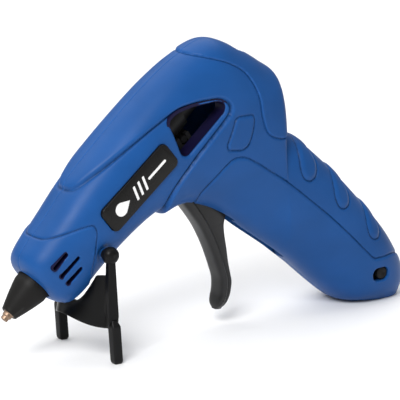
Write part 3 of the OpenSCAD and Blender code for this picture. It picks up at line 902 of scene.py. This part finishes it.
left = shell(-1, "housing_left")
boolean(left, prism(grown(BADGE, 0.15), -OUTSIDE, -BADGE_DEEP))
boolean(left, prism(SLOT, -OUTSIDE, -SLOT_DEEP))
right = shell(1, "housing_right")
screws = None
for at in BOSSES:
    # a boss kept inside the walls, a deep recess down to the seat, and the shaft's hole
    boss = crosswise(at, 0.6, BOSS_TOP, BOSS_R, 40)
    boolean(boss, hollow, "INTERSECT", keep=True)
    boolean(right, boss, "UNION")
    boolean(right, crosswise(at, HEAD_SEAT, OUTSIDE, RECESS_R, 40))
    boolean(right, crosswise(at, 0, 9, SHAFT_HOLE_R, 24))
    screw = screw_at(*at)
    screws = screw if screws is None else boolean(screws, screw, "UNION")

cap = half_solid(cap_relief, 1)
boolean(cap, half_solid(cap_relief, -1), "UNION")
cap.name = "rear_cover"
boolean(cap, hollow, keep=True)
boolean(cap, prism(grown(CAP, -0.12), -OUTSIDE, OUTSIDE), "INTERSECT")
boolean(cap, rod((140, 0, 0), (185, 0, 0), INLET_R, 64))
bpy.data.objects.remove(hollow)

for side, name in ((-1, "window_liner_left"), (1, "window_liner_right")):
    ob = window_liner(side, name)
    finish_mesh(ob)
    paint(ob, liner_blue_painted_shade)
    place(ob, "housing", "inner_plastic")

for ob, node in ((left, "left_shell"), (right, "right_shell"), (cap, "rear_cap")):
    tidy_mesh(ob)
    finish_mesh(ob)
    paint(ob, blue)
    place(ob, "housing", "housing_blue", node)

# ---------------------------------------------------------------- nozzle

# profiles as (radius, u): the cone swells a little, and its front edge is round
cover_side = [(3.95 + 3.95 * min(t * 1.12, 1) + 0.2 * math.sin(math.pi * t), 4.2 + 14.8 * t)
              for t in np.linspace(0, 1, 12)]
cover_end = [(3.1 + 0.85 * math.sin(a), 4.2 - 0.85 * math.cos(a)) for a in np.linspace(0, 1.4, 7)]
cover = revolve(np.array([(2.75, 3.8), (2.95, 3.4)] + cover_end + cover_side + [
    (7.9, 22.4), (9.6, 22.4), (9.6, 24), (7.9, 24), (7.9, 22.8), (6.4, 22.8), (6.3, 16)]),
    "nozzle_rubber_cone")
tip = revolve(np.array([
    (0.75, 0.25), (0.9, 0.05), (1.5, 0.02), (1.72, 0.2), (1.75, 1.5), (1.95, 1.75), (2.2, 1.95),
    (2.2, 3.1), (2.45, 3.4), (2.7, 3.9), (3.2, 5), (6.1, 16), (6.1, 22.5), (3, 22.5), (3, 30),
    (1.5, 30), (1.5, 6), (0.75, 4)]), "nozzle_brass_tip", 64)

# ---------------------------------------------------------------- trigger

# Front edge of the finger pad and back edge of the web, top to tip, as (u, w, u, w)
TRIGGER = np.array([
    [93.2, -22, 114, -24], [93.2, -32, 113.8, -36], [92.8, -40.3, 111.4, -46],
    [92.1, -46.7, 106, -52.8], [90.9, -52.2, 102.3, -55.6], [89.4, -57.7, 99.5, -59.2],
    [87.4, -63.5, 96, -65], [85.4, -68.6, 92.6, -70.3], [83.6, -72.8, 89.9, -75.2],
    [81.2, -76, 87.8, -78.9], [78.8, -78.2, 85, -81.6], [76.5, -79.7, 82, -83.6],
    [74.6, -81, 78.9, -85], [73.3, -82.5, 75.9, -85.4]])
PAD_HALF, WEB_HALF = 5.2, 3.5


def trigger_ring(front, back, t):
    """Section of the trigger: a crowned finger pad, a narrow groove, then the web."""
    along = back - front
    length = np.linalg.norm(along)
    pad = min(4.2 - 1.6 * t, length * 0.62)
    # the last tenth closes to a rounded lip
    shut = np.sqrt(max(1 - (max(t - 0.9, 0) / 0.1) ** 2, 0.12))
    # half section as (way back from the front, half width)
    half = [(0, 0), (0.02, 1.8), (0.08, 3.2), (0.3, 4.2), (0.7, 4.85), (1.3, PAD_HALF),
            (pad - 0.3, PAD_HALF), (pad, PAD_HALF - 0.25), (pad + 0.1, WEB_HALF + 0.5),
            (pad + 0.2, WEB_HALF - 0.35), (pad + 0.7, WEB_HALF - 0.1), (pad + 1.0, WEB_HALF),
            (length - 1.5, WEB_HALF), (length - 0.6, WEB_HALF - 0.5),
            (length - 0.15, WEB_HALF - 1.4), (length, 0)]
    s = np.maximum.accumulate(np.clip([h[0] for h in half], 0, length))
    y = np.array([h[1] for h in half]) * shut
    at = front + along / length * s[:, None]
    right = np.stack([at[:, 0], y, at[:, 1]], 1)
    return np.vstack([right, right[-2:0:-1] * (1, -1, 1)])


def arc_path(table, steps):
    """A smooth path through the table's rows, in equal steps."""
    fine = catmull(table, 12)
    along = np.concatenate([[0], np.cumsum(np.linalg.norm(np.diff(fine, axis=0), axis=1))])
    t = np.linspace(0, along[-1], steps)
    return np.stack([np.interp(t, along, fine[:, k]) for k in range(table.shape[1])], 1)


TRIGGER_STEPS = 90
path = arc_path(TRIGGER, TRIGGER_STEPS)
trigger = loft([trigger_ring(s[:2], s[2:], k / (TRIGGER_STEPS - 1)) for k, s in enumerate(path)],
               "finger_trigger")

# The fork stands on the hub about the pivot and leans forward by half the swing. Its two
# cheeks hold the carriage's peg between their prongs.
PIVOT, SWING, FORK = np.array((108.0, -27.0)), math.radians(21.5), 20.0
HUB_R, HUB_HALF, PIN_HOLE_R = 5.0, 6.8, 2.05
CHEEK_HALF, PRONG_GAP_HALF, CHEEK_THICK, PRONG = 3.8, 1.8, 2.2, 2.2
boolean(trigger, crosswise(PIVOT, -HUB_HALF, HUB_HALF, HUB_R, 64), "UNION")
lean = np.array((math.sin(SWING / 2), math.cos(SWING / 2)))
across = np.array((lean[1], -lean[0]))
prongs = [(CHEEK_HALF, FORK + PRONG), (PRONG_GAP_HALF, FORK + PRONG),
          (PRONG_GAP_HALF, FORK - PRONG)]
cheek = rounded([(-CHEEK_HALF, 0), (CHEEK_HALF, 0)] + prongs
                + [(-a, b) for a, b in prongs[::-1]], 0.6, 4)
cheek = np.array([PIVOT + across * a + lean * b for a, b in cheek])
for y in (-HUB_HALF, HUB_HALF - CHEEK_THICK):
    boolean(trigger, prism(cheek, y, y + CHEEK_THICK), "UNION")
boolean(trigger, crosswise(PIVOT, -9, 9, PIN_HOLE_R))

# ---------------------------------------------------------------- return spring

# radius of the coil, radius of its wire, and where it starts and ends along u
COIL_R, COIL_WIRE, COIL_TURNS = 5.9, 0.42, 5.5
COIL_FROM, COIL_TO = 91.7, 104.3


def spring_coil():
    """Open coil spring round the stick guide, with its end turns closed."""
    turn = np.linspace(0, COIL_TURNS, int(COIL_TURNS * 36) + 1)
    # pitch of the end turns, a little over the wire's thickness, and of the open ones
    flat = 2 * COIL_WIRE * 1.05
    middle = (COIL_TO - COIL_FROM - 2 * flat) / (COIL_TURNS - 2)
    u = COIL_FROM + np.where(turn < 1, flat * turn, np.where(
        turn > COIL_TURNS - 1, COIL_TO - COIL_FROM - flat * (COIL_TURNS - turn),
        flat + middle * (turn - 1)))
    a = turn * 2 * math.pi
    path = np.stack([u, COIL_R * np.cos(a), COIL_R * np.sin(a)], 1)
    rings = []
    section = circle(10)[:, None]
    for k, p in enumerate(path):
        out = np.array((0, math.cos(a[k]), math.sin(a[k])))
        along = path[min(k + 1, len(path) - 1)] - path[max(k - 1, 0)]
        side = np.cross(along / np.linalg.norm(along), out)
        rings.append(p + COIL_WIRE * (np.cos(section) * out + np.sin(section) * side))
    return loft(rings, "return_spring_coil")


coil = spring_coil()

# ---------------------------------------------------------------- stand

# The stand is built upright about its pivot, as (x, y, z) in mm. STAND is the pivot in
# the row frame, so the feet end at -STAND_HIGH.
STAND_HIGH = 47.909
STAND = np.array((-63.771, 0.0, STAND_HIGH))


def row_loft(rings, name="part"):
    """A loft through rings in the stand's own frame. The points of the loft are put in
    their places one by one, which holds as long as no two of them coincide."""
    ob = loft(rings, name)
    pts = (np.vstack(rings) + STAND) * MM
    for v, p in zip(ob.data.vertices, pts):
        v.co = p
    return close_up(ob)


def box_ring(cx, cy, z, lx, ly, r):
    """A level rectangle with round corners."""
    return np.insert(rect(lx, ly, r, (cx, cy)), 2, z, axis=1)


def disc_ring(r, y, n):
    """A circle across the gun, about the pivot."""
    t = circle(n)
    return np.stack([r * np.cos(t), np.full(n, y), r * np.sin(t)], 1)


# half distances of the stand's parts from the middle plane
BALL_Y, ARM_Y, FOOT_Y, FOOT_TOP_Y, APRON_Y = 19.2, 19.75, 21.5, 20.6, 18.9
AXLE_FROM, AXLE_TO, AXLE_R = 14.5, 19.0, 2
# the arm widens downward behind a straight front edge: height, front, rear, thickness
ARM = [(0, -1.9, 1.4, 2.4), (-4, -2.1, 1.6, 2.9), (-12, -2.3, 2.0, 3.1), (-20, -2.3, 2.5, 3.2),
       (-27, -2.3, 2.9, 3.3), (-30.5, -2.2, 2.6, 3.3), (-32.4, -1.6, 2.0, 3.0)]
# the foot is a square peg: height, middle, size, corner radius
FOOT = [(-28.6, 0.4, 2.6, 0.7), (-29.2, 0.35, 3.2, 0.75), (-31, 0.3, 4.25, 0.8),
        (-32, 0.3, 4.4, 0.8), (-46.4, 1.35, 4.4, 0.8), (-47.3, 1.4, 4.1, 0.8),
        (-STAND_HIGH, 1.4, 3.3, 0.7)]
# above this height the foot runs in towards the arm
FOOT_TOP = -30.9
SHEET = 1.7


def stand_side(side):
    """Ball, arm, foot and axle of one side, as separate solids that overlap."""
    ball = [disc_ring(3.85 * math.cos(a) ** 0.75, side * (BALL_Y + 3.2 * math.sin(a)), 48)
            for a in np.linspace(-0.6, 1.5, 20)]
    arm = [box_ring((front + rear) / 2, side * ARM_Y, z, rear - front, thick, 0.55)
           for z, front, rear, thick in ARM]
    foot = [box_ring(x, side * (FOOT_TOP_Y if z > FOOT_TOP else FOOT_Y), z, size, size, r)
            for z, x, size, r in FOOT]
    axle = [disc_ring(AXLE_R, side * y, 32) for y in (AXLE_FROM, AXLE_TO)]
    return [row_loft(rings, name) for rings, name in
            ((ball, "ball"), (arm, "arm"), (foot, "foot"), (axle, "axle"))]


def apron_rings():
    """The curved sheet that joins the arms: bowed forward, with a deep scoop on top."""
    rings = []
    for t in np.linspace(-1, 1, 121):
        top = min(-23.2 + 28 * t * t, -9.2)
        # soft corners where the sheet rises beside the arms
        top -= 0.4 * math.exp(-((abs(t) - 0.7) / 0.09) ** 2)
        low = -28.2 - 4.4 * (1 - (1 - t * t) ** 2.2)
        x_top, x_low = -0.6 - 6.4 * (1 - t * t), -0.9 - 12 * (1 - t * t)
        front = [(x_top + (x_low - x_top) * k, top + (low - top) * k)
                 for k in (0.0, 0.35, 0.7, 1.0)]
        line = rounded(front + [(x + SHEET, z) for x, z in front[::-1]], 0.6, 3)
        rings.append(np.insert(line, 1, APRON_Y * t, axis=1))
    return rings


stand = row_loft(apron_rings(), "folding_stand")
for side in (-1, 1):
    for part in stand_side(side):
        boolean(stand, part, "UNION")

# ---------------------------------------------------------------- badge and slider

# the plaque from its back to its rounded face, as (growth of the outline, y)
badge_line = [(0.0, -16.1), (0.0, -17.35), (-0.12, -17.52), (-0.35, -17.6)]
# the print stands just proud of the face
MARK_FRONT, MARK_BACK = -17.72, -17.4
badge = loft([np.insert(grown(BADGE, grow), 1, y, axis=1) for grow, y in badge_line],
             "badge_plaque")


def on_badge(points):
    """Plaque coordinates, length and height, as (u, w)."""
    return turned(points, BADGE_TURN) + BADGE_AT


# a drop, three slanting bars and a dash
DROP_R, DROP_AT, DROP_POINT = 3.1, -12.6, 5.4
drop = [(DROP_POINT, 0.0)] + [(DROP_R * math.cos(a), DROP_R * math.sin(a))
                              for a in np.linspace(math.radians(50), math.radians(310), 30)]
drop = [(x + DROP_AT, z) for x, z in drop[::-1]]
bars = [rounded([(x - 1.5, -3.2), (x - 0.3, -3.2), (x + 1.5, 3.2), (x + 0.3, 3.2)], 0.3, 3)
        for x in (-3.0, 0.0, 3.0)]
dash = rect(11.5, 1.2, 0.55, (11.0, 0))
mark = prism(on_badge(drop), MARK_FRONT, MARK_BACK, "badge_mark")
for line in bars + [dash]:
    boolean(mark, prism(on_badge(line), MARK_FRONT, MARK_BACK), "UNION")

# the slider rests 1.6 mm behind the middle of its slot; its rings are (share of size, y)
KNOB_SIZE, KNOB_CORNER, KNOB_BACK = 5.8, 2.6, 1.6
KNOB_AT = SLOT_AT + np.array((COS_T, -SIN_T)) * KNOB_BACK
KNOB = [(0.62, -12.9), (0.62, -13.1), (1.0, -13.1), (1.0, -15.5), (0.93, -15.95), (0.78, -16.15),
        (0.45, -16.1), (0.2, -16.02)]
knob = loft([np.insert(rect(KNOB_SIZE * k, KNOB_SIZE * k, KNOB_CORNER * k, KNOB_AT, SLOT_TURN),
                       1, y, axis=1) for k, y in KNOB], "switch_thumb_knob")

SHARP_ANGLE = 34
for ob, look, body, slot, node in (
        (cover, rubber, "housing", "nozzle_rubber", "nozzle_cover"),
        (tip, brass, "housing", "brass", "nozzle_tip"),
        (trigger, trigger_black, "trigger", "trigger_black", "trigger"),
        (stand, black, "stand", "stand_black", "stand_yoke"),
        (badge, badge_black, "housing", "badge_black", "badge_plate"),
        (mark, mark_white, "housing", "badge_black", None),
        (screws, steel, "housing", "steel", "housing_screws"),
        (coil, steel, "housing", "steel", "return_spring"),
        (knob, black, "switch_slider", "knob_black", "switch_knob")):
    tidy_mesh(ob)
    finish_mesh(ob, SHARP_ANGLE)
    paint(ob, look)
    place(ob, body, slot, *([node] if node else []))
# the spring's front end in the row frame, for the carriage's 7.5 mm stroke; the value is not kept
tuple(float(v) for v in to_row((COIL_FROM - COIL_WIRE, 0, 0)))
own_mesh(coil)

# ---------------------------------------------------------------- carried-over nodes

NODE_LOOKS = {
    "melt_chamber": aluminium, "ptc_heater": ceramic, "heater_clip": steel,
    "front_mount_ring": inner_plastic, "rear_mount_ring": inner_plastic,
    "thermal_sleeve": silicone, "stick_guide": inner_plastic, "inlet_bush": inner_plastic,
    "feed_carriage": inner_plastic, "clamp_jaw": steel, "jaw_pin": steel,
    "trigger_pin": steel, "battery_cell": cell_wrap, "battery_contacts": nickel,
    "control_board": board_green, "switch_body": inner_plastic, "usb_socket": steel,
    "heater_wires": wire_red, "battery_wires": wire_black}
for node, look in NODE_LOOKS.items():
    paint(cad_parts[node], look)

# ---------------------------------------------------------------- floor and light

FLOOR = 3
floor_me = bpy.data.meshes.new("floor")
floor_me.from_pydata([(x * FLOOR, y * FLOOR, 0) for x, y in ((-1, -1), (1, -1), (1, 1), (-1, 1))],
                     [], [(0, 1, 2, 3)])
floor = bpy.data.objects.new("floor", floor_me)
bpy.context.collection.objects.link(floor)


def floor_look(k):
    k.colour(k.mix(k.noise(3, 2, 0.5), (0.88, 0.88, 0.88), (0.9, 0.9, 0.9)))
    k.roughness(k.range(k.noise(5, 2, 0.5), 0.3, 0.7, 0.75, 0.85))


paint(floor, material("floor", floor_look))

world = bpy.data.worlds.new("studio")
bpy.context.scene.world = world
world.use_nodes = True
background = world.node_tree.nodes["Background"]
background.inputs["Color"].default_value = (1, 1, 1, 1)
background.inputs["Strength"].default_value = 0.38
bpy.context.scene.view_settings.view_transform = "Standard"


def area(name, at, to, size, power):
    """A soft rectangular light that looks at a point."""
    light = bpy.data.lights.new(name, "AREA")
    light.shape, light.size, light.size_y, light.energy = "RECTANGLE", size[0], size[1], power
    ob = bpy.data.objects.new(name, light)
    bpy.context.collection.objects.link(ob)
    ob.location = at
    ob.rotation_euler = (Vector(to) - Vector(at)).to_track_quat("-Z", "Y").to_euler()


area("key_light", (-0.75, -0.55, 0.85), (0, 0, 0.06), (0.5, 0.5), 13)
area("overhead_light", (0, 1.5, 2.4), (0, 0.9, 0), (5, 4), 100)
